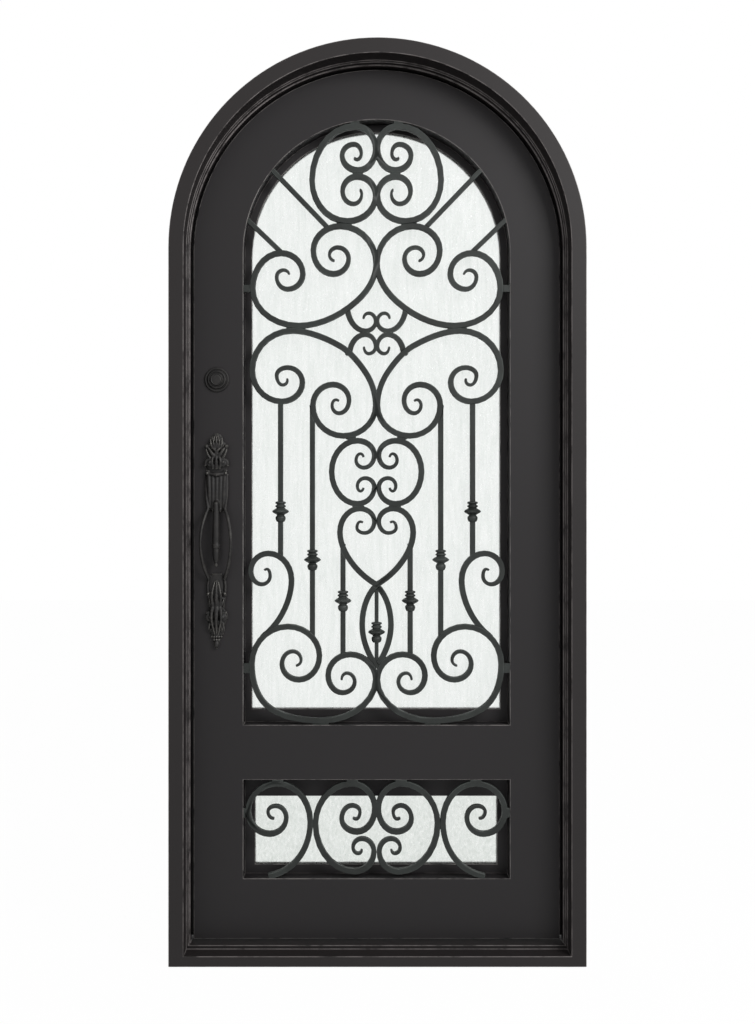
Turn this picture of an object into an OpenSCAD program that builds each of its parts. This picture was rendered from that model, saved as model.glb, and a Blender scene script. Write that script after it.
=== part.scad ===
// Round-top wrought iron entry door: frame, hinged leaf, scroll grilles, glass and hardware.
// X runs across the opening, Y from the street side (-Y) to the room side (+Y), Z is up.
// The origin is on the underside of the sill, at mid width and mid depth of the frame.

/* [Frame] */
// Overall width of the frame
frame_w = 936; // [780:1:1150]
// Overall height of the frame, to the crown of the arch
frame_h = 2080; // [1730:1:2500]
// Depth of the frame, street face to room face
frame_depth = 130; // [125:1:170]
// Width of the frame's flat street face
face_w = 34; // [26:0.5:44]
// Depth at which the street face's inner wall ends in the first bead
bead_depth = 48; // [36:1:54]
// Width of the first bead's step
bead_w = 5.5; // [3:0.5:8]
// Depth at which the second, narrow step lies
lip_depth = 64; // [58:1:68]
// Width of the second step
lip_w = 2.5; // [1.5:0.5:4]
// Depth at which the stop ends and the rebate for the leaf begins
stop_depth = 92; // [88:1:96]
// How far the stop stands in from the rebate
stop_w = 12; // [10:0.5:14]

/* [Sill] */
// Height of the sill's front strip
sill_h = 24; // [15:1:40]
// Rise from the front strip to the threshold under the leaf
threshold_rise = 9; // [4:1:20]

/* [Leaf] */
// Running gap between the leaf and the frame, sides and arch
leaf_gap = 6.5; // [6:0.5:9]
// Running gap between the leaf and the threshold
leaf_foot_gap = 7; // [5:1:12]
// Depth of the leaf's street face behind the frame's street face
leaf_face_depth = 72; // [70:1:80]
// Thickness of the leaf
leaf_t = 55; // [50:1:62]
// Thickness of the leaf's raised street field, in front of its flange
field_t = 25; // [22:1:26]
// Width of each stile, measured on the flange
stile_w = 126; // [110:1:150]
// Height of the bottom rail
bottom_rail_h = 138; // [100:1:180]
// Height of the lower window
low_window_h = 226; // [190:1:260]
// Height of the rail between the two windows
mid_rail_h = 126; // [100:1:160]

/* [Glazing] */
// Thickness of each sheet of glass
glass_t = 8; // [5:0.5:12]
// How far each sheet is let into its sash
glass_bite = 6; // [3:0.5:10]
// Depth of the sashes' street face behind the leaf's street face
sash_setback = 42; // [36:1:46]
// Thickness of the sash's lip in front of the glass
sash_lip = 5; // [3:0.5:8]
// How far the sash stands out on the room side
sash_proud = 10; // [6:1:16]
// How far the sash laps over the leaf on the room side
sash_lap = 12; // [8:1:20]
// Visible width of the upper sash at its sides and arch
upper_sash_w = 17; // [12:1:30]
// Visible height of the upper sash at its foot
upper_sash_foot = 31; // [20:1:40]
// Visible width of the lower sash at its sides
lower_sash_w = 24.5; // [16:0.5:34]
// Visible height of the lower sash at its foot
lower_sash_foot = 22; // [16:1:34]
// Visible height of the lower sash at its head
lower_sash_head = 46; // [20:1:56]

/* [Grille] */
// Width of the scroll bars
scroll_w = 13; // [9:0.5:15]
// Width of a scroll bar at its drawn-out tip
scroll_tip_w = 5; // [3:0.5:8]
// Length over which a scroll bar is drawn out to its tip
scroll_taper = 140; // [80:10:240]
// Thickness of all grille bars, street side to room side
bar_t = 14; // [10:0.5:18]
// Width of the upright bars
upright_w = 12; // [8:0.5:14]
// Width of the short upright on the centreline
centre_upright_w = 9; // [7:0.5:12]
// Width of the corner spokes
spoke_w = 11; // [8:0.5:13]
// Diameter of the knuckle collars on the upright bars
collar_d = 39; // [30:0.5:44]

/* [Hardware] */
// Distance from the leaf's edge to the middle of the pulls and locks
pull_inset = 65.5; // [58:0.5:75]
// Height of the middle of the pulls
pull_z = 953; // [850:1:1050]
// Overall height of each pull
pull_h = 495; // [470:1:520]
// Diameter of the lock roses
rose_d = 57; // [45:1:64]
// Height of the lock
lock_z = 1321; // [1260:1:1400]
// Length of the lock's faceplate on the leaf's edge
faceplate_h = 120; // [90:1:160]

/* [Hinges] */
// Diameter of the hinge barrels
barrel_d = 18; // [14:0.5:20]
// Overall length of each hinge's two knuckles
barrel_h = 120; // [90:1:160]
// Diameter of the hinge pins
hinge_pin_d = 10; // [8:0.5:11]
// Running clearance round each hinge pin, on the radius
pin_clear = 0.06; // [0.02:0.01:0.1]
// Height of the middle of the lowest hinge
low_hinge_z = 240; // [180:1:320]
// Distance from the arch's springing down to the middle of the highest hinge
top_hinge_drop = 142; // [100:1:250]
// How far open the leaf is drawn
leaf_angle = 0; // [0:1:110]

/* [Fixings] */
// Diameter of the anchor holes through the jambs
anchor_d = 11; // [8:0.5:14]
// Height of the lowest anchor hole
anchor_z = 420; // [390:1:500]
// Spacing of the two anchor holes of a pair
anchor_pitch = 300; // [200:10:400]
// Height of the highest anchor hole above the strike plate's upper end
anchor_strike_gap = 30; // [20:1:60]

/* [Hidden] */
$fn = 96;

// Frame
outer_r = frame_w / 2;
spring_z = frame_h - outer_r;
face_r = outer_r - face_w;
bead_r = face_r - bead_w;
stop_r = bead_r - lip_w;
rebate_r = stop_r + stop_w;
threshold_z = sill_h + threshold_rise;

// Leaf
leaf_back = leaf_face_depth + leaf_t;
field_r = stop_r - leaf_gap;
flange_r = rebate_r - leaf_gap;
flange_depth = leaf_face_depth + field_t;
window_r = flange_r - stile_w;
pull_x = flange_r - pull_inset;
leaf_z = threshold_z + leaf_foot_gap;
low_window_z = leaf_z + bottom_rail_h;
mid_rail_z = low_window_z + low_window_h;
window_z = mid_rail_z + mid_rail_h;

// Glazing
sash_depth = leaf_face_depth + sash_setback;
glass_depth = sash_depth + sash_lip;
sash_back = leaf_back + sash_proud;

// Weatherstrip between the stop and the leaf's flange
strip_w = 7;
strip_clear = 1;
strip_t = flange_depth - stop_depth - strip_clear;

// Hinges: the barrels stand clear of the room faces of frame and leaf
hinge_clear = 2;
hinge_x = (rebate_r + flange_r) / 2 + 0.75;
hinge_depth = max(frame_depth, leaf_back) + hinge_clear + barrel_d / 2;
hinge_plate_t = 4;
hinge_plate_w = 22;
knuckle_gap = 0.5;
top_hinge_z = spring_z - top_hinge_drop;
mid_hinge_z = (low_hinge_z + top_hinge_z) / 2;

// Grille: both patterns are drawn for windows of these sizes and stretched to the real ones
drawn_r = 305;
drawn_z = 530;
drawn_h = 1388;
drawn_low_z = 178;
drawn_low_h = 226;
bar_back = leaf_face_depth + bar_t;

frame_color = [0.22, 0.20, 0.20];
leaf_color = [0.25, 0.23, 0.23];
grille_color = [0.18, 0.20, 0.19];
hardware_color = [0.30, 0.27, 0.24];
steel_color = [0.55, 0.55, 0.56];
glass_color = [0.86, 0.90, 0.88, 0.5];

// Place of a depth behind the frame's street face, on the Y axis
function at_depth(d) = d - frame_depth / 2;

// A flat shape drawn on X and Z, from depth d0 to depth d1
module slab(d0, d1) {
    translate([0, at_depth(d1), 0]) rotate([90, 0, 0]) linear_extrude(d1 - d0) children();
}

// The same shape on both sides of the centreline
module both() {
    children();
    mirror([1, 0, 0]) children();
}

// A half ring about the arch's centre, from a section of [radius, depth] points
module arch_ring(section) {
    translate([0, 0, spring_z]) rotate([90, 0, 0])
        rotate_extrude(angle = 180) polygon([for (p = section) [p[0], -at_depth(p[1])]]);
}

// An upright from a section of [distance from the centreline, depth] points
module upright(section, z0, z1) {
    translate([0, 0, z0]) linear_extrude(z1 - z0)
        polygon([for (p = section) [p[0], at_depth(p[1])]]);
}

// A round-topped opening about the arch's centre
module arch_shape(r, z0) {
    translate([-r, z0]) square([2 * r, spring_z - z0]);
    intersection() {
        translate([0, spring_z]) circle(r = r);
        translate([-r, spring_z]) square([2 * r, r + 1]);
    }
}

module box_shape(r, z0, z1) {
    translate([-r, z0]) square([2 * r, z1 - z0]);
}

// ---- Frame ----

frame_section = [
    [outer_r, 0], [outer_r, frame_depth], [rebate_r, frame_depth], [rebate_r, stop_depth],
    [stop_r, stop_depth], [stop_r, lip_depth], [bead_r, lip_depth], [bead_r, bead_depth],
    [face_r, bead_depth], [face_r, 0]
];

anchor_depth = (stop_depth + frame_depth) / 2;
anchor_top_z = lock_z + faceplate_h / 2 + anchor_strike_gap;

module anchor_holes() {
    for (z = [anchor_z, anchor_z + anchor_pitch, anchor_top_z - anchor_pitch, anchor_top_z])
        translate([stop_r - 1, at_depth(anchor_depth), z])
            rotate([0, 90, 0]) cylinder(h = outer_r - stop_r + 2, d = anchor_d);
}

module jamb() {
    difference() {
        upright(frame_section, 0, spring_z);
        anchor_holes();
    }
}

plate_t = 3;
plate_w = 24;
bolt_d = 20;
plate_depth = (flange_depth + leaf_back) / 2;

// The strike plate's pocket in the jamb, and the bolt's hole behind it
module strike_shape(extra) {
    translate([-rebate_r - plate_t, at_depth(plate_depth) - plate_w / 2, lock_z - faceplate_h / 2])
        cube([plate_t + extra, plate_w, faceplate_h]);
}

module strike_bolt_hole() {
    translate([-rebate_r - plate_t - 15, at_depth(plate_depth), lock_z])
        rotate([0, 90, 0]) cylinder(h = plate_t + 16, d = bolt_d + 3);
}

module jamb_latch_side() {
    color(frame_color) difference() {
        mirror([1, 0, 0]) jamb();
        strike_shape(1);
        strike_bolt_hole();
    }
}

module jamb_hinge_side() { color(frame_color) jamb(); }

module arch_head() { color(frame_color) arch_ring(frame_section); }

module sill() {
    color(frame_color) {
        translate([-face_r, at_depth(0), 0]) cube([2 * face_r, bead_depth, sill_h]);
        linear_extrude(threshold_z) polygon([for (p = [
            [-bead_r, bead_depth], [bead_r, bead_depth], [bead_r, lip_depth], [stop_r, lip_depth],
            [stop_r, stop_depth], [rebate_r, stop_depth], [rebate_r, frame_depth],
            [-rebate_r, frame_depth], [-rebate_r, stop_depth], [-stop_r, stop_depth],
            [-stop_r, lip_depth], [-bead_r, lip_depth]
        ]) [p[0], at_depth(p[1])]]);
    }
}

strip_section = [
    [stop_r + 1, stop_depth], [stop_r + 1 + strip_w, stop_depth],
    [stop_r + 1 + strip_w, stop_depth + strip_t], [stop_r + 1, stop_depth + strip_t]
];

module weatherstrip() {
    color([0.06, 0.06, 0.06]) {
        both() upright(strip_section, threshold_z, spring_z);
        arch_ring(strip_section);
    }
}

module strike_plate() {
    color(steel_color) difference() {
        strike_shape(0);
        strike_bolt_hole();
    }
}

// ---- Hinges: a weld-on barrel in two knuckles, the lower one on the frame with the pin ----

module hinge_half(side, z0, z1) {
    plate_x = side > 0 ? hinge_x + barrel_d / 2 : hinge_x - barrel_d / 2 - hinge_plate_w;
    carrier = side > 0 ? frame_depth : leaf_back;
    translate([plate_x, at_depth(carrier), z0]) cube([hinge_plate_w, hinge_plate_t, z1 - z0]);
    translate([side > 0 ? hinge_x + 3 : hinge_x - 3 - barrel_d / 2, at_depth(carrier + hinge_plate_t / 2), z0])
        cube([barrel_d / 2, hinge_depth - carrier - hinge_plate_t / 2, z1 - z0]);
}

module hinge_axis(z) {
    translate([hinge_x, at_depth(hinge_depth), z]) children();
}

module frame_hinge(z) {
    color(hardware_color) {
        hinge_half(1, z - barrel_h / 2, z - knuckle_gap);
        hinge_axis(z) {
            translate([0, 0, -barrel_h / 2]) cylinder(h = barrel_h / 2 - knuckle_gap, d = barrel_d);
            translate([0, 0, -barrel_h / 2 - 6]) cylinder(h = 6, d1 = barrel_d / 2, d2 = barrel_d);
            translate([0, 0, -barrel_h / 4]) cylinder(h = barrel_h / 4 + 0.8 * barrel_h / 2, d = hinge_pin_d);
        }
    }
}

module leaf_hinge(z) {
    color(hardware_color) difference() {
        union() {
            hinge_half(-1, z, z + barrel_h / 2);
            hinge_axis(z) {
                cylinder(h = barrel_h / 2, d = barrel_d);
                translate([0, 0, barrel_h / 2]) cylinder(h = 6, d1 = barrel_d, d2 = barrel_d / 2);
            }
        }
        hinge_axis(z) translate([0, 0, -1])
            cylinder(h = 0.8 * barrel_h / 2 + 1 + knuckle_gap, d = hinge_pin_d + 2 * pin_clear);
    }
}

// ---- Leaf ----

leaf_section = [
    [window_r, leaf_face_depth], [field_r, leaf_face_depth], [field_r, flange_depth],
    [flange_r, flange_depth], [flange_r, leaf_back], [window_r, leaf_back]
];

module stile() { upright(leaf_section, leaf_z, spring_z); }

module faceplate_shape(extra) {
    translate([-flange_r - extra, at_depth(plate_depth) - plate_w / 2, lock_z - faceplate_h / 2])
        cube([plate_t + extra, plate_w, faceplate_h]);
}

module lock_stile() {
    color(leaf_color) difference() {
        mirror([1, 0, 0]) stile();
        faceplate_shape(1);
    }
}

module hinge_stile() { color(leaf_color) stile(); }

module arch_rail() { color(leaf_color) arch_ring(leaf_section); }

module mid_rail() {
    color(leaf_color) slab(leaf_face_depth, leaf_back) box_shape(window_r, mid_rail_z, window_z);
}

module bottom_rail() {
    color(leaf_color) slab(leaf_face_depth, leaf_back) box_shape(window_r, leaf_z, low_window_z);
}

// ---- Glazing ----

upper_glass_r = window_r - upper_sash_w;
upper_glass_z = window_z + upper_sash_foot;
lower_glass_r = window_r - lower_sash_w;
lower_glass_z = low_window_z + lower_sash_foot;
lower_glass_top = mid_rail_z - lower_sash_head;

module upper_sash() {
    color(leaf_color) difference() {
        union() {
            slab(sash_depth, leaf_back) arch_shape(window_r, window_z);
            slab(leaf_back, sash_back) arch_shape(window_r + sash_lap, window_z - sash_lap);
        }
        slab(sash_depth - 1, sash_back + 1) arch_shape(upper_glass_r, upper_glass_z);
        upper_pane();
    }
}

module upper_pane() {
    slab(glass_depth, glass_depth + glass_t)
        arch_shape(upper_glass_r + glass_bite, upper_glass_z - glass_bite);
}

module lower_sash() {
    color(leaf_color) difference() {
        union() {
            slab(sash_depth, leaf_back) box_shape(window_r, low_window_z, mid_rail_z);
            slab(leaf_back, sash_back)
                box_shape(window_r + sash_lap, low_window_z - sash_lap, mid_rail_z + sash_lap);
        }
        slab(sash_depth - 1, sash_back + 1) box_shape(lower_glass_r, lower_glass_z, lower_glass_top);
        lower_pane();
    }
}

module lower_pane() {
    slab(glass_depth, glass_depth + glass_t)
        box_shape(lower_glass_r + glass_bite, lower_glass_z - glass_bite, lower_glass_top + glass_bite);
}

module upper_glass() { color(glass_color) upper_pane(); }
module lower_glass() { color(glass_color) lower_pane(); }

// ---- Scroll bars ----
// A scroll is a chain of stations [x, z, heading], each joined to the next by one smooth curve.
// Heading 0 points right, 90 up, 180 left and 270 down.

function dir(a) = [cos(a), sin(a)];
function cross2(a, b) = a[0] * b[1] - a[1] * b[0];
function turn(a, b) = let (t = (b - a) % 360) t > 180 ? t - 360 : t < -180 ? t + 360 : t;

// Handle lengths that make a leg an arc where its two tangents meet ahead, or a gentle S elsewhere
function handles(a, b) =
    let (
        u = dir(a[2]), v = dir(b[2]), d = [b[0] - a[0], b[1] - a[1]],
        s = cross2(u, v), t = abs(turn(a[2], b[2])),
        k = t < 5 ? 2 / 3 : 4 / 3 * tan(t / 4) / tan(t / 2),
        p = abs(s) < 0.05 ? 0 : cross2(d, v) / s, q = abs(s) < 0.05 ? 0 : cross2(u, d) / s
    ) p > 0 && q > 0 ? [k * p, k * q] : [norm(d) / 3, norm(d) / 3];

function leg_point(a, b, h, t) =
    let (p0 = [a[0], a[1]], p3 = [b[0], b[1]], p1 = p0 + h[0] * dir(a[2]), p2 = p3 - h[1] * dir(b[2]))
    pow(1 - t, 3) * p0 + 3 * t * pow(1 - t, 2) * p1 + 3 * t * t * (1 - t) * p2 + pow(t, 3) * p3;

leg_steps = 7;

function centreline(s) = concat(
    [for (i = [0 : len(s) - 2]) let (h = handles(s[i], s[i + 1]))
        for (j = [0 : leg_steps - 1]) leg_point(s[i], s[i + 1], h, j / leg_steps)],
    [[s[len(s) - 1][0], s[len(s) - 1][1]]]);

function run_lengths(p) = [for (i = 0, s = 0; i < len(p);
    s = s + (i + 1 < len(p) ? norm(p[i + 1] - p[i]) : 0), i = i + 1) s];

function half_width(from_eye) =
    (scroll_tip_w + (scroll_w - scroll_tip_w) * pow(min(1, from_eye / scroll_taper), 0.7)) / 2;

// Outline of a bar along a centreline, drawn out at the ends that are eyes
function outline(p, eye_a, eye_b) =
    let (
        n = len(p), s = run_lengths(p),
        side = [for (i = [0 : n - 1]) let (
            d = p[min(i + 1, n - 1)] - p[max(i - 1, 0)],
            from_eye = min(eye_a ? s[i] : scroll_taper, eye_b ? s[n - 1] - s[i] : scroll_taper)
        ) half_width(from_eye) * [-d[1], d[0]] / norm(d)]
    ) concat([for (i = [0 : n - 1]) p[i] + side[i]], [for (i = [n - 1 : -1 : 0]) p[i] - side[i]]);

function upper_place(p) = [
    p[0] * window_r / drawn_r,
    window_z + (p[1] - drawn_z) * (spring_z + window_r - window_z) / drawn_h
];

function lower_place(p) = [
    p[0] * window_r / drawn_r, low_window_z + (p[1] - drawn_low_z) * low_window_h / drawn_low_h
];

module upper_scroll(stations, eye_a = true, eye_b = true) {
    polygon(outline([for (p = centreline(stations)) upper_place(p)], eye_a, eye_b));
}

module lower_scroll(stations, eye_a = true, eye_b = true) {
    polygon(outline([for (p = centreline(stations)) lower_place(p)], eye_a, eye_b));
}

module upper_opening() { arch_shape(window_r, window_z); }
module lower_opening() { box_shape(window_r, low_window_z, mid_rail_z); }

// Flat shapes of the upper grille's scrolls, left half, then mirrored by both()

module crown_shape() {
    both() upper_scroll([
        [-52, 1831, 340], [-45, 1828, 0], [-35, 1842, 90], [-52, 1863, 180], [-79, 1837, 270],
        [-42, 1803, 0], [-2, 1853, 90], [-49, 1904, 180], [-148, 1780, 270], [-67, 1686, 0],
        [-2, 1745, 90], [-44, 1789, 180], [-78, 1755, 270], [-53, 1726, 0], [-34, 1748, 90],
        [-39, 1758, 180]
    ]);
}

module shoulder_shape() {
    both() upper_scroll([
        [-96, 1595, 170], [-108, 1609, 90], [-89, 1626, 0], [-64, 1600, 270], [-99, 1565, 180],
        [-145, 1619, 90], [-83, 1675, 0], [-1, 1589, 270], [-45, 1503, 222], [-179, 1446, 180],
        [-284, 1532, 90], [-219, 1613, 0], [-169, 1565, 270], [-204, 1530, 180], [-229, 1558, 90],
        [-213, 1574, 0], [-200, 1564, 285]
    ]);
}

module hooks_shape() {
    both() {
        upper_scroll([[-67, 1485, 276], [-26, 1434, 0], [-2, 1456, 90], [-18, 1475, 180],
            [-30, 1462, 270]], eye_a = false);
        upper_scroll([[-62, 1379, 90], [-26, 1426, 0], [-2, 1399, 270], [-18, 1382, 180],
            [-29, 1398, 90]], eye_a = false);
    }
}

module waist_shape() {
    both() upper_scroll([
        [-205, 1325, 290], [-215, 1310, 180], [-229, 1332, 90], [-204, 1350, 0], [-170, 1316, 270],
        [-217, 1272, 180], [-285, 1344, 90], [-193, 1434.5, 0], [-83, 1399, 330], [-26, 1340, 304],
        [-2, 1263, 270], [-76, 1193, 180], [-146, 1263, 90], [-100, 1311, 0], [-63, 1275, 270],
        [-86, 1245, 180], [-102, 1263, 90], [-93, 1276, 0], [-86, 1273, 320]
    ]);
}

module oval_shape() {
    both() upper_scroll([
        [-30, 1144, 95], [-37, 1152, 180], [-47, 1137, 270], [-29, 1120, 0], [-5, 1149, 90],
        [-44, 1182, 180], [-103, 1111, 270], [-44, 1037, 0], [-5, 1075, 90], [-26, 1096, 180],
        [-44, 1078, 270], [-37, 1066, 0], [-30, 1074, 85]
    ]);
}

module heart_shape() {
    both() upper_scroll([
        [-31, 994, 150], [-37, 996, 180], [-45, 982, 270], [-27, 970, 0], [-5, 997, 90],
        [-39, 1026, 180], [-84, 972, 270], [-50, 893, 310], [2, 850, 330]
    ], eye_b = false);
}

module almond_shape() {
    both() upper_scroll([[0, 850, 224], [-33, 759, 270], [-15, 688, 297], [2, 660, 300]],
        eye_a = false, eye_b = false);
}

module side_shape() {
    both() upper_scroll([
        [-257, 884, 60], [-251, 887, 0], [-244, 871, 270], [-263, 852, 180], [-288, 883, 90],
        [-248, 923, 0], [-195, 862, 270], [-216, 785, 242], [-262, 730, 220]
    ], eye_b = false);
}

module base_shape() {
    both() upper_scroll([
        [-185, 665, 10], [-173, 678, 90], [-192, 698, 180], [-217, 669, 270], [-178, 633, 0],
        [-131, 688, 90], [-203, 755, 180], [-286, 669, 270], [-253, 575, 317], [-128, 539, 0],
        [-2, 633, 90], [-60, 691, 180], [-111, 643, 270], [-78, 603, 0], [-50, 628, 90],
        [-68, 648, 180], [-80, 632, 275]
    ]);
}

// Upright bars: [x, foot, head] of each, with the height of its collar
uprights = [[-220, 914, 1266, 1020], [-147, 728, 1263, 909], [-77, 685, 945, 815], [1, 672, 846, 743]];

module upright_at(u, w) {
    a = upper_place([u[0], u[1]]);
    b = upper_place([u[0], u[2]]);
    translate([a[0] - w / 2, a[1]]) square([w, b[1] - a[1]]);
}

module uprights_shape() {
    both() for (u = [uprights[0], uprights[1], uprights[2]]) upright_at(u, upright_w);
    upright_at([0, uprights[3][1], uprights[3][2]], centre_upright_w);
}

// A straight bar between two points of the drawn pattern
module straight(a, b, w) {
    p = upper_place(a);
    q = upper_place(b);
    n = w / 2 * [-(q - p)[1], (q - p)[0]] / norm(q - p);
    polygon([p + n, q + n, q - n, p - n]);
}

module spokes_shape() {
    both() {
        straight([-254, 1819], [-112, 1671], spoke_w);
        straight([-298, 1691], [-218, 1614], spoke_w);
    }
}

// Short ties and welds that hold the scrolls where they don't touch by themselves
tie_h = 16;

// A weld about a point of the drawn pattern, as wide and high as given there
module weld(x, z, w, h) {
    low = upper_place([x - w / 2, z - h / 2]);
    high = upper_place([x + w / 2, z + h / 2]);
    translate((low + high) / 2) scale([(high - low)[0] / (high - low)[1], 1])
        circle(d = (high - low)[1], $fn = 24);
}

module ties_shape() {
    both() {
        straight([-320, 1531], [-284, 1531], tie_h);
        straight([-320, 660], [-284, 660], tie_h + 6);
        straight([-128, 520], [-128, 540], 2 * tie_h + 4);
        weld(-50, 1912, 22, 12);
        weld(-43, 1796, 24, 8);
        weld(-74, 1681, 36, 10);
        weld(-185, 1440, 44, 10);
        weld(-26, 1430, 20, 8);
        weld(-60, 1190, 26, 13);
        weld(-42, 1031, 28, 10);
    }
}

module bars(back = bar_back) { slab(leaf_face_depth, back) children(); }

module crown_scrolls() {
    color(grille_color) bars() intersection() { crown_shape(); upper_opening(); }
}

module shoulder_scrolls() {
    color(grille_color) bars() difference() { shoulder_shape(); crown_shape(); }
}

module waist_scrolls() {
    color(grille_color) bars() difference() { waist_shape(); shoulder_shape(); }
}

module centre_hooks() {
    color(grille_color) bars() difference() { hooks_shape(); shoulder_shape(); waist_shape(); }
}

module oval_scrolls() {
    color(grille_color) bars() difference() { oval_shape(); waist_shape(); }
}

module heart_scrolls() {
    color(grille_color) bars() difference() { heart_shape(); oval_shape(); }
}

module base_scrolls() {
    color(grille_color) bars() intersection() { base_shape(); upper_opening(); }
}

module almond_loop() {
    color(grille_color) bars() difference() { almond_shape(); heart_shape(); base_shape(); }
}

module side_scrolls() {
    color(grille_color) bars() difference() { side_shape(); base_shape(); }
}

module upright_bars() {
    color(grille_color) bars(leaf_face_depth + upright_w) difference() {
        uprights_shape();
        waist_shape();
        side_shape();
        base_shape();
        heart_shape();
        almond_shape();
    }
}

module corner_spokes() {
    color(grille_color) bars(leaf_face_depth + spoke_w) difference() {
        intersection() { spokes_shape(); upper_opening(); }
        crown_shape();
        shoulder_shape();
    }
}

module edge_ties() {
    color(grille_color) bars() difference() {
        intersection() { ties_shape(); upper_opening(); }
        crown_shape();
        shoulder_shape();
        hooks_shape();
        waist_shape();
        oval_shape();
        heart_shape();
        base_shape();
    }
}

// A turned collar: a sharp-edged disc between two thin rings above and a bead below
module collar() {
    r = collar_d / 2;
    rotate_extrude() polygon([
        [0, -24], [9, -24], [11, -19], [12, -15], [10, -11], [8, -9], [10, -7], [r - 2, -3],
        [r, 0], [r - 2, 3], [11, 7], [9, 9], [12, 12], [9, 15], [9, 17], [12, 20], [9, 23], [0, 23]
    ]);
}

module knuckle_collars() {
    axis_depth = leaf_face_depth + upright_w / 2;
    color(grille_color) difference() {
        for (u = uprights, side = u[0] > 0 ? [1] : [-1, 1]) {
            c = upper_place([u[0] > 0 ? 0 : side * u[0], u[3]]);
            translate([c[0], at_depth(axis_depth), c[1]]) collar();
        }
        bars(leaf_face_depth + upright_w) uprights_shape();
    }
}

// Flat shapes of the lower grille's scrolls

module lower_outer_shape() {
    both() lower_scroll([
        [-234, 315, 200], [-249, 330, 90], [-231, 343, 0], [-207, 316, 270], [-245, 279, 180],
        [-294, 331, 90], [-227, 395, 0], [-152, 307, 270], [-184, 217, 228], [-248, 182, 190]
    ], eye_b = false);
    both() for (t = [[-301, 328, 14, 22], [-227, 400, 26, 10]]) {
        c = lower_place([t[0], t[1]]);
        translate([c[0] - t[2] / 2, c[1] - t[3] / 2]) square([t[2], t[3]]);
    }
}

module lower_inner_shape() {
    both() {
        lower_scroll([
            [-54, 316, 314], [-47, 313, 0], [-38, 330, 90], [-56, 344, 180], [-80, 314, 270],
            [-45, 284, 0], [-4, 337, 90], [-56, 395, 180], [-140, 302, 270], [-50, 193, 0],
            [-6, 238, 90], [-33, 268, 180], [-54, 248, 270], [-42, 234, 0], [-34, 243, 95]
        ]);
        c = lower_place([-56, 397]);
        translate([c[0] - 13, c[1]]) square([26, mid_rail_z - c[1]]);
    }
}

module lower_outer_scrolls() {
    color(grille_color) bars() difference() {
        intersection() { lower_outer_shape(); lower_opening(); }
        lower_inner_shape();
    }
}

module lower_inner_scrolls() {
    color(grille_color) bars() lower_inner_shape();
}

// ---- Pulls ----
// Drawn about the middle of the pull, standing out to -Y from a face at Y = 0.

pull_plate_t = 10;
pull_spine_w = 20;
pull_spine_t = 7;
rod_d = 8;
rod_bow = 30;
rod_span = 160;
rod_foot = 8;

// A disc or boss on the door's face
module boss(x, z, r, h) {
    translate([x, 0, z]) rotate([90, 0, 0]) cylinder(h = h, r = r);
}

module pull_rod(side) {
    r = (pow(rod_span / 2, 2) + pow(rod_bow, 2)) / (2 * rod_bow);
    a = asin(rod_span / 2 / r);
    translate([side * 20, -rod_foot, -6]) rotate([0, 0, side > 0 ? -60 : -120])
        translate([rod_bow - r, 0, 0]) rotate([90, 0, 0]) rotate([0, 0, -a])
            rotate_extrude(angle = 2 * a) translate([r, 0]) circle(d = rod_d);
}

module pull_plate(z0, z1, w_foot, w_head) {
    rotate([90, 0, 0]) linear_extrude(pull_plate_t)
        polygon([[-w_foot / 2, z0], [w_foot / 2, z0], [w_head / 2, z1], [-w_head / 2, z1]]);
}

module pull() {
    top = pull_h / 2;
    pull_plate(60, 148, 42, 50);
    pull_plate(-138, -72, 46, 38);
    // Back plate that carries the ornaments
    translate([-pull_spine_w / 2, -pull_spine_t, 100]) cube([pull_spine_w, pull_spine_t, top - 110]);
    translate([-pull_spine_w / 2, -pull_spine_t, 10 - top]) cube([pull_spine_w, pull_spine_t, top - 110]);
    // Crown with two volutes and a bud
    for (s = [-1, 1]) {
        boss(s * 18, 160, 10, 14);
        boss(s * 19, 180, 8, 12);
        boss(s * 17, 199, 11, 12);
    }
    boss(0, 200, 17, 16);
    boss(0, top - 22, 11, 16);
    boss(0, top - 9, 9, 14);
    boss(0, 168, 15, 14);
    // Foot with two volutes, a pointed leaf and a bead
    for (s = [-1, 1]) {
        boss(s * 17, -152, 10, 14);
        boss(s * 16, -174, 8, 12);
    }
    boss(0, -158, 16, 15);
    boss(0, -178, 15, 14);
    boss(0, -202, 12, 13);
    boss(0, -top + 27, 10, 14);
    boss(0, -top + 10, 10, 13);
    boss(0, -top + 19, 6, 10);
    // Drawn-down stem, its collar and drop, held by a boss on the upper plate
    boss(0, 76, 14, 26);
    translate([0, -20, 0]) {
        translate([0, 0, -18]) cylinder(h = 98, r1 = 8.5, r2 = 6);
        translate([0, 0, -26]) cylinder(h = 8, r = 10);
        translate([0, 0, -48]) cylinder(h = 22, r1 = 5, r2 = 8.5);
        translate([0, 0, -53]) sphere(r = 6.5);
    }
    pull_rod(-1);
    pull_rod(1);
}

module exterior_pull() {
    color(hardware_color) translate([-pull_x, at_depth(leaf_face_depth), pull_z]) pull();
}

module interior_pull() {
    color(hardware_color) translate([-pull_x, at_depth(leaf_back), pull_z])
        mirror([0, 1, 0]) pull();
}

// ---- Lock ----

// A stepped rose with three rings, standing out to -Y
module rose() {
    r = rose_d / 2;
    rotate([90, 0, 0]) rotate_extrude() polygon([
        [0, 0], [r, 0], [r, 3], [r - 2, 5], [r - 8, 7], [r - 9, 9.5], [12, 11], [11, 14], [0, 14]
    ]);
}

module exterior_lock_rose() {
    color(hardware_color) translate([-pull_x, at_depth(leaf_face_depth), lock_z]) rose();
}

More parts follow.
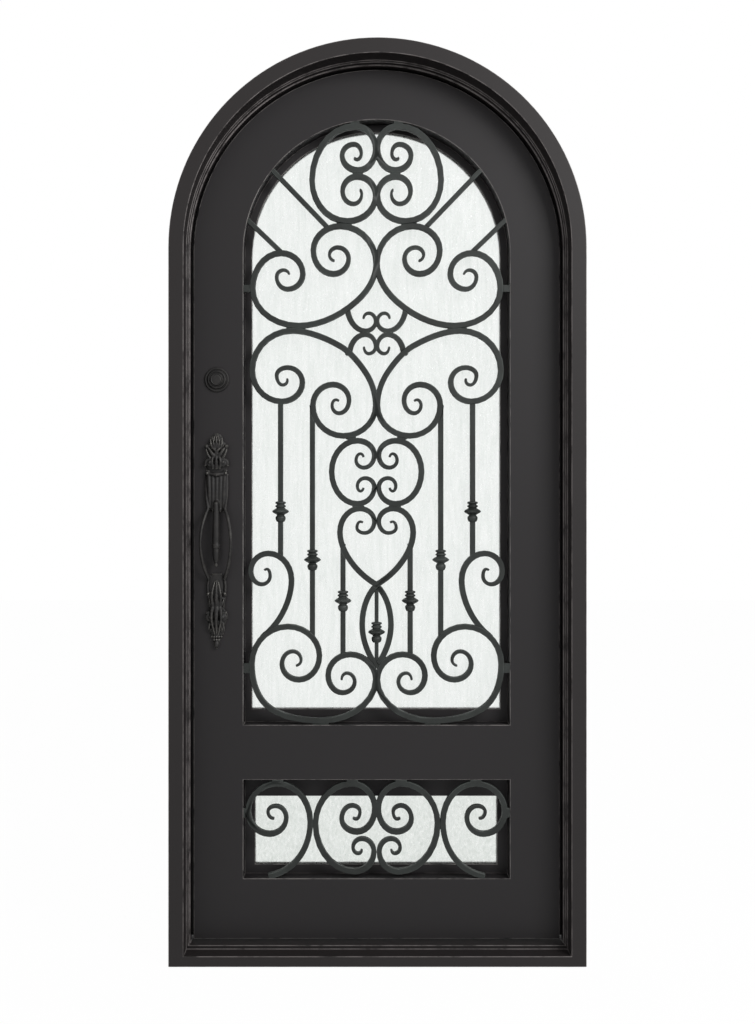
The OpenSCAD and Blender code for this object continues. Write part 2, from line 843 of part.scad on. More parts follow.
module interior_lock_turn() {
    color(hardware_color) translate([-pull_x, at_depth(leaf_back), lock_z]) mirror([0, 1, 0]) {
        rose();
        translate([0, -13, 0]) rotate([90, 0, 0]) cylinder(h = 13, r = 6);
        translate([-5, -38, -17]) cube([10, 14, 34]);
    }
}

module lock_faceplate() {
    color(steel_color) faceplate_shape(0);
}

// ---- Assembly ----

module on_leaf() {
    hinge_axis(0) rotate([0, 0, -leaf_angle])
        translate([-hinge_x, -at_depth(hinge_depth), 0]) children();
}

jamb_latch_side();
jamb_hinge_side();
arch_head();
sill();
weatherstrip();
strike_plate();
frame_hinge(low_hinge_z);  // frame_hinge_low
frame_hinge(mid_hinge_z);  // frame_hinge_mid
frame_hinge(top_hinge_z);  // frame_hinge_top
on_leaf() lock_stile();
on_leaf() hinge_stile();
on_leaf() arch_rail();
on_leaf() mid_rail();
on_leaf() bottom_rail();
on_leaf() upper_sash();
on_leaf() lower_sash();
on_leaf() upper_glass();
on_leaf() lower_glass();
on_leaf() crown_scrolls();
on_leaf() shoulder_scrolls();
on_leaf() centre_hooks();
on_leaf() waist_scrolls();
on_leaf() oval_scrolls();
on_leaf() heart_scrolls();
on_leaf() almond_loop();
on_leaf() side_scrolls();
on_leaf() base_scrolls();
on_leaf() upright_bars();
on_leaf() knuckle_collars();
on_leaf() corner_spokes();
on_leaf() edge_ties();
on_leaf() lower_outer_scrolls();
on_leaf() lower_inner_scrolls();
on_leaf() exterior_pull();
on_leaf() interior_pull();
on_leaf() exterior_lock_rose();
on_leaf() interior_lock_turn();
on_leaf() lock_faceplate();
on_leaf() leaf_hinge(low_hinge_z);  // leaf_hinge_low
on_leaf() leaf_hinge(mid_hinge_z);  // leaf_hinge_mid
on_leaf() leaf_hinge(top_hinge_z);  // leaf_hinge_top
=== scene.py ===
import math

import bmesh
import bpy
from mathutils import Matrix, Vector


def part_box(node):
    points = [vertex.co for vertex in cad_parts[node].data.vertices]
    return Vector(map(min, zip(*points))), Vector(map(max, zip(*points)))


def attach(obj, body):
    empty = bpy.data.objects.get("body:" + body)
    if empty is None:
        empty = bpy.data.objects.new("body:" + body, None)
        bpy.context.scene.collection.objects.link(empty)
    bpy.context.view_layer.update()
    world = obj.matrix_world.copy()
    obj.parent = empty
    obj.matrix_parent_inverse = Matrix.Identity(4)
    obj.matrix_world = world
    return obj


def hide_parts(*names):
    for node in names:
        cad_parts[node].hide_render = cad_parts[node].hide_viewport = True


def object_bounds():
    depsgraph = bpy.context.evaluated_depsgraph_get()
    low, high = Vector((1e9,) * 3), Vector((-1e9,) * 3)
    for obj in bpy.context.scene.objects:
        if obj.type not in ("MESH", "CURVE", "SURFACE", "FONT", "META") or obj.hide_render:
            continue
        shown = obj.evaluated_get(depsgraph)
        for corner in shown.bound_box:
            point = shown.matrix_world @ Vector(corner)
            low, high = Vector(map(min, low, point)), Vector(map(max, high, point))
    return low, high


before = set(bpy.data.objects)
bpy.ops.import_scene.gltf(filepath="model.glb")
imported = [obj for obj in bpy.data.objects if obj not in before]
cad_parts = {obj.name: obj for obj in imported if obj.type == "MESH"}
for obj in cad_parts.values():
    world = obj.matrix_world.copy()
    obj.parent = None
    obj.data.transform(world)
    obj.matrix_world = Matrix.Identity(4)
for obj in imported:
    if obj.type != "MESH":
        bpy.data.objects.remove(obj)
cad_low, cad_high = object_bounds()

# ---- Frame: jambs, arched head and sill ----
# Folded steel sections welded into one round-topped casing, seams ground flush, then
# powder coated in a dark satin bronze. The eased edges are painted lighter: partly thinner
# coat and wear, partly painted highlight where the rounded edges catch the light.


class Value:
    """A shader socket that can be added, multiplied and raised like a number."""

    def __init__(self, tree, socket):
        self.tree, self.socket = tree, socket

    def _sum(self, operation, left, right):
        node = self.tree.nodes.new("ShaderNodeMath")
        node.operation = operation
        for socket, side in zip(node.inputs, (left, right)):
            if isinstance(side, Value):
                self.tree.links.new(side.socket, socket)
            else:
                socket.default_value = side
        return Value(self.tree, node.outputs[0])

    def __add__(self, other): return self._sum("ADD", self, other)
    def __radd__(self, other): return self._sum("ADD", other, self)
    def __sub__(self, other): return self._sum("SUBTRACT", self, other)
    def __rsub__(self, other): return self._sum("SUBTRACT", other, self)
    def __mul__(self, other): return self._sum("MULTIPLY", self, other)
    def __rmul__(self, other): return self._sum("MULTIPLY", other, self)
    def __pow__(self, other): return self._sum("POWER", self, other)


class Finish:
    """One procedural finish: its nodes and the material that holds them."""

    def __init__(self, name):
        self.material = bpy.data.materials.new(name)
        self.material.use_nodes = True
        self.tree = self.material.node_tree
        self.tree.nodes.clear()

    def node(self, kind, settings=None, sockets=None, out=0):
        made = self.tree.nodes.new(kind)
        for key, value in (settings or {}).items():
            if key == "stops":
                ramp = made.color_ramp
                while len(ramp.elements) < len(value):
                    ramp.elements.new(0.5)
                for element, (place, colour) in zip(ramp.elements, value):
                    element.position, element.color = place, colour
            else:
                setattr(made, key, value)
        for key, value in (sockets or {}).items():
            if isinstance(value, Value):
                self.tree.links.new(value.socket, made.inputs[key])
            else:
                made.inputs[key].default_value = value
        return Value(self.tree, made.outputs[out]) if len(made.outputs) else None

    def places(self, stretch=(1, 1, 1)):
        """Points on the piece in its own metres, stretched along each axis."""
        here = self.node("ShaderNodeTexCoord", out="Object")
        return self.node("ShaderNodeMapping", {}, {"Vector": here, "Scale": stretch})

    def noise(self, scale, detail=3.0, stretch=(1, 1, 1), roughness=0.5):
        return self.node("ShaderNodeTexNoise", {}, {
            "Vector": self.places(stretch), "Scale": scale, "Detail": detail,
            "Roughness": roughness})

    def step(self, value, low, high):
        """0 below low, 1 above high, with a smooth climb between."""
        return self.node("ShaderNodeMapRange", {"interpolation_type": "SMOOTHSTEP"}, {
            "Value": value, "From Min": low, "From Max": high})

    def mix(self, share, colour_a, colour_b):
        return self.node("ShaderNodeMix", {"data_type": "RGBA"},
                         {0: share, 6: colour_a, 7: colour_b}, out=2)

    def relief(self, height, depth, strength=1.0, under=None):
        sockets = {"Height": height, "Distance": depth, "Strength": strength}
        if under is not None:
            sockets["Normal"] = under
        return self.node("ShaderNodeBump", {}, sockets)

    def surface(self, sockets):
        shader = self.node("ShaderNodeBsdfPrincipled", {}, sockets)
        self.node("ShaderNodeOutputMaterial", {}, {"Surface": shader})
        return self.material


def tone(red, green, blue):
    """A colour written in 0 to 255 steps, turned into the shader's linear values."""
    def linear(step):
        share = step / 255
        return share / 12.92 if share <= 0.04045 else ((share + 0.055) / 1.055) ** 2.4
    return (linear(red), linear(green), linear(blue), 1)


EASED = "eased_edge"


def satin_coat(name, body_tone, worn_and_highlight_tone, cloud=0.5):
    """Baked powder coat over steel: faint clouding, orange peel, eased edges lighter as wear plus
    painted highlight.
    """
    coat = Finish(name)
    clouding = coat.noise(2.2, 3.0, (1, 1, 0.5))
    dust = coat.noise(26, 5.0, roughness=0.7)
    peel = coat.noise(420, 2.0)
    edge = coat.node("ShaderNodeAttribute", {"attribute_name": EASED}, out="Fac")
    # Eased edges painted toward the light tone: partly edge wear, partly painted highlight.
    rubbed_and_highlit = edge * coat.step(dust, 0.3, 0.6)
    shade = coat.mix(coat.step(clouding, 0.3, 0.7) * cloud,
                     tone(*body_tone), tone(*[step * 1.13 for step in body_tone]))
    return coat.surface({
        "Base Color": coat.mix(rubbed_and_highlit * 0.9, shade, tone(*worn_and_highlight_tone)),
        "Roughness": 0.42 + 0.10 * dust + 0.04 * clouding - 0.08 * rubbed_and_highlit,
        "Metallic": 0.0,
        "Specular IOR Level": 0.24,
        "Normal": coat.relief(peel, 0.00012, 0.30),
    })


# The light tone goes on the eased edges: partly wear, partly painted highlight.
frame_paint = satin_coat("frame_paint", (33, 30, 30), (110, 105, 104))


def plain_piece(name, mesh, material):
    """A finished piece: its mesh in place, its object at the origin."""
    piece = bpy.data.objects.new(name, mesh)
    bpy.context.scene.collection.objects.link(piece)
    mesh.materials.clear()
    mesh.materials.append(material)
    return piece


def settle(piece):
    """The piece with its modifiers worked into a plain mesh."""
    graph = bpy.context.evaluated_depsgraph_get()
    done = bpy.data.meshes.new_from_object(
        piece.evaluated_get(graph), preserve_all_data_layers=True, depsgraph=graph)
    before = piece.data
    piece.modifiers.clear()
    piece.data = done
    bpy.data.meshes.remove(before)
    return piece


def cut_shape(node):
    """A merged copy of a CAD node's mesh with its flat faces whole again."""
    shape = bmesh.new()
    shape.from_mesh(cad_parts[node].data)
    bmesh.ops.remove_doubles(shape, verts=shape.verts, dist=2e-6)
    bmesh.ops.dissolve_limit(shape, angle_limit=math.radians(0.6), verts=shape.verts,
                             edges=shape.edges)
    mesh = bpy.data.meshes.new(node + "_shape")
    shape.to_mesh(mesh)
    shape.free()
    mesh.materials.clear()
    return mesh


def weld_up(name, nodes):
    """One steel shape from several CAD nodes, their meeting faces gone."""
    parts = []
    for node in nodes:
        part = bpy.data.objects.new(name + "_" + node, cut_shape(node))
        bpy.context.scene.collection.objects.link(part)
        parts.append(part)
    first = parts[0]
    for part in parts[1:]:
        union = first.modifiers.new(part.name, "BOOLEAN")
        union.operation, union.object, union.solver = "UNION", part, "EXACT"
    settle(first)
    mesh = first.data
    for part in parts:
        bpy.data.objects.remove(part)
    shape = bmesh.new()
    shape.from_mesh(mesh)
    bmesh.ops.remove_doubles(shape, verts=shape.verts, dist=2e-6)
    bmesh.ops.dissolve_limit(shape, angle_limit=math.radians(0.6), verts=shape.verts,
                             edges=shape.edges)
    shape.to_mesh(mesh)
    shape.free()
    return mesh


LEAST_RADIUS = 0.0005
RADIUS_STEP = 0.85
FILL_SLACK = 1.01


def ease(name, mesh, radius, material, segments=3, angle=32):
    """The shape with its sharp edges rounded, and the rounded strips marked.

    Where strips cross in a tight corner, so that the faces fill to more than their own
    area, the radius is brought down a step at a time, to LEAST_RADIUS at the lowest."""
    mesh.materials.append(material)
    mesh.materials.append(None)
    piece = bpy.data.objects.new(name, mesh.copy())
    bpy.context.scene.collection.objects.link(piece)
    while True:
        round_over = piece.modifiers.new("round_over", "BEVEL")
        round_over.width, round_over.segments = radius, segments
        round_over.limit_method, round_over.angle_limit = "ANGLE", math.radians(angle)
        round_over.material, round_over.loop_slide = 1, False
        round_over.use_clamp_overlap = False
        settle(piece)
        done = piece.data
        done.calc_loop_triangles()
        filled = sum(triangle.area for triangle in done.loop_triangles)
        own_area = sum(face.area for face in done.polygons)
        if filled < FILL_SLACK * own_area or radius < LEAST_RADIUS:
            break
        radius *= RADIUS_STEP
        piece.data = mesh.copy()
        bpy.data.meshes.remove(done)
    bpy.data.meshes.remove(mesh)
    mark = done.attributes.new(EASED, "FLOAT", "CORNER")
    for face in done.polygons:
        share = 1.0 if face.material_index == 1 else 0.0
        for corner in face.loop_indices:
            mark.data[corner].value = share
        face.material_index = 0
        face.use_smooth = True
    done.materials.clear()
    done.materials.append(material)
    done.set_sharp_from_angle(angle=math.radians(40))
    flat = piece.modifiers.new("flat", "WEIGHTED_NORMAL")
    flat.mode, flat.weight, flat.keep_sharp = "FACE_AREA", 60, True
    return settle(piece)


def mount(piece, body, slot, *nodes):
    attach(piece, body)
    if nodes:
        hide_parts(*nodes)


casing_nodes = ["jamb_latch_side", "arch_head", "jamb_hinge_side", "sill"]
casing = ease("frame_casing", weld_up("casing", casing_nodes), 0.0016, frame_paint)
mount(casing, "frame", "frame_paint", *casing_nodes)

# ---- Leaf: stiles, arched rail, mid rail and bottom rail ----
# Two steel skins over a welded tube core filled with foam. The skins are seam welded and
# ground so that the street face reads as one sheet with two window openings.

# The light tone goes on the eased edges: partly wear, partly painted highlight.
leaf_paint = satin_coat("leaf_paint", (32, 30, 31), (122, 118, 116), 0.6)
leaf_nodes = ["lock_stile", "arch_rail", "hinge_stile", "mid_rail", "bottom_rail"]
leaf_shell = ease("leaf_shell", weld_up("shell", leaf_nodes), 0.0014, leaf_paint)
mount(leaf_shell, "leaf", "leaf_paint", *leaf_nodes)

# ---- Sashes ----
# Narrow steel window frames set back in the openings, bolted from the room side over a
# gasket. They carry the glass and are painted with the leaf.

for sash in ("upper_sash", "lower_sash"):
    mount(ease(sash + "_steel", cut_shape(sash), 0.0012, leaf_paint),
          "leaf", "leaf_paint", sash)

# ---- Glass ----
# Cast glass with its pattern rolled into one face: long wavy rain streaks above and a
# finer hammered grain below. It is obscured, and slightly green where it is thick.


def cast_glass(name, stretch, streak_scale, streak_share, thin_tint, thick_tint, depth):
    glass = Finish(name)
    sway = glass.node("ShaderNodeTexNoise", {}, {
        "Vector": glass.places((1, 1, 0.35)), "Scale": 9, "Detail": 2.0}, out=1)
    bent = glass.node("ShaderNodeMix", {"data_type": "VECTOR"},
                      {0: 0.03, 4: glass.places(stretch), 5: sway}, out=1)
    streaks = glass.node("ShaderNodeTexNoise", {}, {
        "Vector": bent, "Scale": streak_scale, "Detail": 3.0, "Roughness": 0.55,
        "Distortion": 0.35})
    grain = glass.noise(230, 3.0, (1, 1, 0.6))
    height = streaks * streak_share + grain * (1 - streak_share)
    thick = glass.step(height, 0.36, 0.68)
    return glass.surface({
        "Base Color": glass.mix(thick, (*thin_tint, 1), (*thick_tint, 1)),
        "Roughness": 0.22 + 0.12 * grain,
        "Transmission Weight": 1.0,
        "IOR": 1.45,
        "Normal": glass.relief(height, depth, 0.55),
    })


rain_glass = cast_glass("rain_glass", (1, 1, 0.10), 150, 0.75,
                        (0.92, 0.94, 0.925), (0.80, 0.835, 0.81), 0.0010)
hammered_glass = cast_glass("hammered_glass", (1, 1, 0.55), 190, 0.55,
                            (0.87, 0.895, 0.87), (0.66, 0.70, 0.665), 0.0016)
for pane, material in (("upper_glass", rain_glass), ("lower_glass", hammered_glass)):
    mount(ease(pane + "_pane", cut_shape(pane), 0.0008, material, 2),
          "leaf", "textured_glass", pane)

# ---- Scroll bars, uprights, spokes and ties ----
# Flat bar bent hot into scrolls with drawn-out tips, welded where bars touch, then
# painted a charcoal that shows hammer marks and scale, with edges painted lighter: partly
# edge wear, partly painted highlight.

forged = Finish("forged_iron")
scale = forged.noise(14, 5.0, roughness=0.65)
hammer = forged.node("ShaderNodeTexVoronoi", {"feature": "SMOOTH_F1"}, {
    "Vector": forged.places((1, 1, 0.8)), "Scale": 90, "Smoothness": 0.8})
pits = forged.noise(380, 4.0)
# Edge mask for the lighter tone: partly edge wear, partly painted highlight.
rub_and_highlight = forged.node("ShaderNodeAttribute", {"attribute_name": EASED}, out="Fac")
rub_and_highlight = rub_and_highlight * forged.step(scale, 0.36, 0.62)
iron_shade = forged.mix(forged.step(scale, 0.32, 0.7), tone(26, 29, 27), tone(40, 44, 42))
forged_iron = forged.surface({
    "Base Color": forged.mix(rub_and_highlight * 0.5, iron_shade, tone(80, 85, 82)),
    "Roughness": 0.46 + 0.16 * scale - 0.08 * rub_and_highlight,
    "Metallic": 0.0,
    "Specular IOR Level": 0.32,
    "Normal": forged.relief(pits, 0.0002, 0.35, forged.relief(hammer, 0.0010, 0.35)),
})

for bar in ("crown_scrolls", "shoulder_scrolls", "centre_hooks", "waist_scrolls",
            "oval_scrolls", "heart_scrolls", "almond_loop", "side_scrolls", "base_scrolls",
            "lower_outer_scrolls", "lower_inner_scrolls"):
    mount(ease(bar + "_bar", cut_shape(bar), 0.0019, forged_iron), "leaf", "grille_iron", bar)
for bar, radius in (("upright_bars", 0.0018), ("corner_spokes", 0.0018), ("edge_ties", 0.0012)):
    mount(ease(bar + "_bar", cut_shape(bar), radius, forged_iron), "leaf", "grille_iron", bar)

# ---- Knuckle collars ----
# Turned collars slid over the upright bars: a sharp disc between thin rings, with a bead
# below, each set in place and welded from behind. They share the bars' finish.


def turned(shape, profile, turns=40, tip=None):
    """A lathe-turned body about the upright axis, from [radius, height] points."""
    rings = []
    for radius, height in profile:
        rings.append([shape.verts.new((radius * math.cos(2 * math.pi * k / turns),
                                       radius * math.sin(2 * math.pi * k / turns), height))
                      for k in range(turns)])
    for low, high in zip(rings, rings[1:]):
        for k in range(turns):
            n = (k + 1) % turns
            shape.faces.new((low[k], low[n], high[n], high[k]))
    shape.faces.new(rings[0][::-1])
    shape.faces.new(rings[-1])
    made = [vert for ring in rings for vert in ring]
    if tip is not None:
        bmesh.ops.transform(shape, matrix=tip, verts=made)
    return made


def rounded(profile, bend=4):
    """The profile with each corner drawn as a short curve."""
    points = [Vector(point) for point in profile]
    smooth = [points[0]]
    for before, here, after in zip(points, points[1:], points[2:]):
        start, end = here.lerp(before, 0.35), here.lerp(after, 0.35)
        for k in range(bend + 1):
            t = k / bend
            smooth.append(start.lerp(here, t).lerp(here.lerp(end, t), t))
    return smooth + [points[-1]]


# These marks set the finishes' lighter tone on proud points (partly wear, partly painted
# highlight) and the castings' painted shade in the hollows.
def wear_and_light_marks(mesh, reach=1):
    """Marks how far each point stands proud of its neighbours, from 0 in hollows to 1."""
    links = [[] for _ in mesh.vertices]
    for a, b in (edge.vertices for edge in mesh.edges):
        links[a].append(b)
        links[b].append(a)
    proud = []
    for vert in mesh.vertices:
        near = [mesh.vertices[k].co for k in links[vert.index]] or [vert.co]
        middle = sum(near, Vector()) / len(near)
        span = sum((point - vert.co).length for point in near) / len(near) or 1
        proud.append((vert.co - middle).dot(vert.normal) / span)
    for _ in range(reach):
        proud = [0.5 * proud[k] + 0.5 * sum(proud[n] for n in links[k]) / max(1, len(links[k]))
                 for k in range(len(proud))]
    mark = mesh.attributes.new(EASED, "FLOAT", "POINT")
    for k, value in enumerate(proud):
        mark.data[k].value = min(1, max(0, 0.45 + 2.2 * value))


def set_out(name, spots, piece, material, size=1.0):
    """Copies of a small piece on a set of points, worked into one plain mesh."""
    tree = bpy.data.node_groups.new(name, "GeometryNodeTree")
    tree.interface.new_socket("Spots", in_out="INPUT", socket_type="NodeSocketGeometry")
    tree.interface.new_socket("Piece", in_out="INPUT", socket_type="NodeSocketObject")
    tree.interface.new_socket("Size", in_out="INPUT", socket_type="NodeSocketFloat")
    tree.interface.new_socket("Finish", in_out="INPUT", socket_type="NodeSocketMaterial")
    tree.interface.new_socket("Set", in_out="OUTPUT", socket_type="NodeSocketGeometry")
    given, result = tree.nodes.new("NodeGroupInput"), tree.nodes.new("NodeGroupOutput")
    shape = tree.nodes.new("GeometryNodeObjectInfo")
    place = tree.nodes.new("GeometryNodeInstanceOnPoints")
    real = tree.nodes.new("GeometryNodeRealizeInstances")
    coat = tree.nodes.new("GeometryNodeSetMaterial")
    join = tree.links.new
    join(given.outputs["Piece"], shape.inputs["Object"])
    join(given.outputs["Spots"], place.inputs["Points"])
    join(shape.outputs["Geometry"], place.inputs["Instance"])
    join(given.outputs["Size"], place.inputs["Scale"])
    join(place.outputs["Instances"], real.inputs["Geometry"])
    join(real.outputs["Geometry"], coat.inputs["Geometry"])
    join(given.outputs["Finish"], coat.inputs["Material"])
    join(coat.outputs["Geometry"], result.inputs["Set"])
    mesh = bpy.data.meshes.new(name)
    mesh.from_pydata([tuple(spot) for spot in spots], [], [])
    made = plain_piece(name, mesh, material)
    nodes = made.modifiers.new("set_out", "NODES")
    nodes.node_group = tree
    sockets = {item.name: item.identifier for item in tree.interface.items_tree
               if item.in_out == "INPUT"}
    nodes[sockets["Piece"]], nodes[sockets["Size"]] = piece, size
    nodes[sockets["Finish"]] = material
    settle(made)
    bpy.data.objects.remove(piece)
    return made


def islands(node):
    """The middle of each separate solid of a CAD node."""
    shape = bmesh.new()
    shape.from_mesh(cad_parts[node].data)
    bmesh.ops.remove_doubles(shape, verts=shape.verts, dist=2e-6)
    left, middles = set(shape.verts), []
    while left:
        group, edge_of = set(), [left.pop()]
        while edge_of:
            vert = edge_of.pop()
            group.add(vert)
            for edge in vert.link_edges:
                other = edge.other_vert(vert)
                if other in left:
                    left.discard(other)
                    edge_of.append(other)
        low = Vector([min(v.co[k] for v in group) for k in range(3)])
        high = Vector([max(v.co[k] for v in group) for k in range(3)])
        middles.append((low, high))
    shape.free()
    return middles


collar_r = max(high.x - low.x for low, high in islands("knuckle_collars")) / 2
collar_spots = [(low + high) / 2 for low, high in islands("knuckle_collars")]
collar_profile = [
    (0.0070, -0.0240), (0.0090, -0.0235), (0.0112, -0.0190), (0.0120, -0.0150),
    (0.0108, -0.0112), (0.0082, -0.0092), (0.0096, -0.0070), (collar_r - 0.0024, -0.0032),
    (collar_r, -0.0004), (collar_r, 0.0004), (collar_r - 0.0024, 0.0032), (0.0108, 0.0068),
    (0.0088, 0.0088), (0.0120, 0.0104), (0.0123, 0.0120), (0.0120, 0.0136), (0.0088, 0.0152),
    (0.0088, 0.0168), (0.0120, 0.0184), (0.0123, 0.0200), (0.0120, 0.0216), (0.0086, 0.0230),
    (0.0070, 0.0232)]
collar_shape = bmesh.new()
turned(collar_shape, rounded(collar_profile, 3), 44)
collar_mesh = bpy.data.meshes.new("collar")
collar_shape.to_mesh(collar_mesh)
collar_shape.free()
for face in collar_mesh.polygons:
    face.use_smooth = True
wear_and_light_marks(collar_mesh, 0)
collar = plain_piece("collar", collar_mesh, forged_iron)
collars = set_out("knuckle_collar_set", collar_spots, collar, forged_iron)
mount(collars, "leaf", "grille_iron", "knuckle_collars")

# ---- Pulls ----
# Ornate cast pulls, one on each face: a fluted shield under a flared palmette with two
# volutes, a tapered stem with its drop between two bowed rods, and a scrolled foot.
# Cast in one and patinated dark; painted near black in the hollows, partly patina and
# partly painted shade, and painted brighter on everything that stands proud, partly wear
# and partly painted highlight.

cast = Finish("cast_hardware")
proud_mark = cast.node("ShaderNodeAttribute", {"attribute_name": EASED}, out="Fac")
mottle = cast.noise(55, 5.0, roughness=0.65)
sand = cast.noise(620, 3.0)
# Brighter tone on the crests: partly wear, partly painted highlight.
polish_and_highlight = cast.step(proud_mark + 0.35 * mottle, 0.70, 1.05)
patina = cast.mix(cast.step(mottle, 0.3, 0.7), tone(22, 21, 21), tone(36, 34, 33))
# Near-black tone in the hollows: partly patina, partly painted shade.
hollow_patina_and_shade = cast.mix(cast.step(proud_mark, 0.15, 0.50), tone(9, 9, 9), patina)
cast_hardware = cast.surface({
    "Base Color": cast.mix(polish_and_highlight * 0.8, hollow_patina_and_shade, tone(114, 112, 108)),
    "Roughness": 0.46 + 0.15 * mottle - 0.16 * polish_and_highlight,
    "Metallic": 0.15 + 0.45 * polish_and_highlight,
    "Specular IOR Level": 0.34,
    "Normal": cast.relief(sand, 0.0002, 0.4, cast.relief(mottle, 0.0006, 0.3)),
})


def bar_along(shape, path, radii, sides=12, flat=1.0):
    """A round bar along a path, closed at both ends, with a radius for each point."""
    path = [Vector(point) for point in path]
    across, rings = None, []
    for k, here in enumerate(path):
        ahead = (path[min(k + 1, len(path) - 1)] - path[max(k - 1, 0)]).normalized()
        if across is None:
            across = ahead.cross(Vector((0, 1, 0)))
            across = across if across.length > 0.2 else ahead.orthogonal()
        across = (across - ahead * across.dot(ahead)).normalized()
        up = ahead.cross(across)
        rings.append([shape.verts.new(
            here + radii[k] * (across * math.cos(2 * math.pi * n / sides)
                               + up * flat * math.sin(2 * math.pi * n / sides)))
            for n in range(sides)])
    for low, high in zip(rings, rings[1:]):
        for n in range(sides):
            m = (n + 1) % sides
            shape.faces.new((low[n], low[m], high[m], high[n]))
    shape.faces.new(rings[0][::-1])
    shape.faces.new(rings[-1])


def swell(shape, middle, half, tilt=0.0):
    """An egg-shaped swelling, tilted in the plane of the door."""
    place = (Matrix.Translation(middle) @ Matrix.Rotation(tilt, 4, "Y")
             @ Matrix.Diagonal((*half, 1)))
    bmesh.ops.create_uvsphere(shape, u_segments=20, v_segments=12, radius=1, matrix=place)


def volute(shape, middle, start, turns, reach, thick, side, rise=0.004):
    """A curl that winds in to its eye while it thins and rises."""
    steps = int(22 * turns)
    path, radii = [], []
    for k in range(steps + 1):
        t = k / steps
        angle = start + 2 * math.pi * turns * t
        r = reach * (1 - 0.80 * t)
        path.append(middle + Vector((side * r * math.cos(angle), -rise * t,
                                     r * math.sin(angle))))
        radii.append(thick * (1 - 0.50 * t))
    bar_along(shape, path, radii, 10)
    swell(shape, path[-1], (thick * 0.95,) * 3)


def frond(shape, foot, tip, width, stand, curl=0.0, ribs=3):
    """A cast leaf: a swelling blade from foot to tip with raised ribs."""
    foot, tip = Vector(foot), Vector(tip)
    along = tip - foot
    across = Vector((along.z, 0, -along.x)).normalized()
    for k in range(ribs):
        spread = (k - (ribs - 1) / 2) / max(1, (ribs - 1) / 2)
        path, radii = [], []
        for n in range(9):
            t = n / 8
            bulge = math.sin(math.pi * (0.15 + 0.85 * t) ** 0.8)
            path.append(foot + along * t + across * spread * width * (0.25 + 0.55 * bulge)
                        + Vector((0, -stand * math.sin(math.pi * min(1, t * 0.9 + 0.1)), 0))
                        + across * curl * t * t)
            radii.append(max(0.0012, width * (0.42 - 0.30 * t) * (1 - 0.25 * abs(spread))))
        bar_along(shape, path, radii, 10, 0.8)


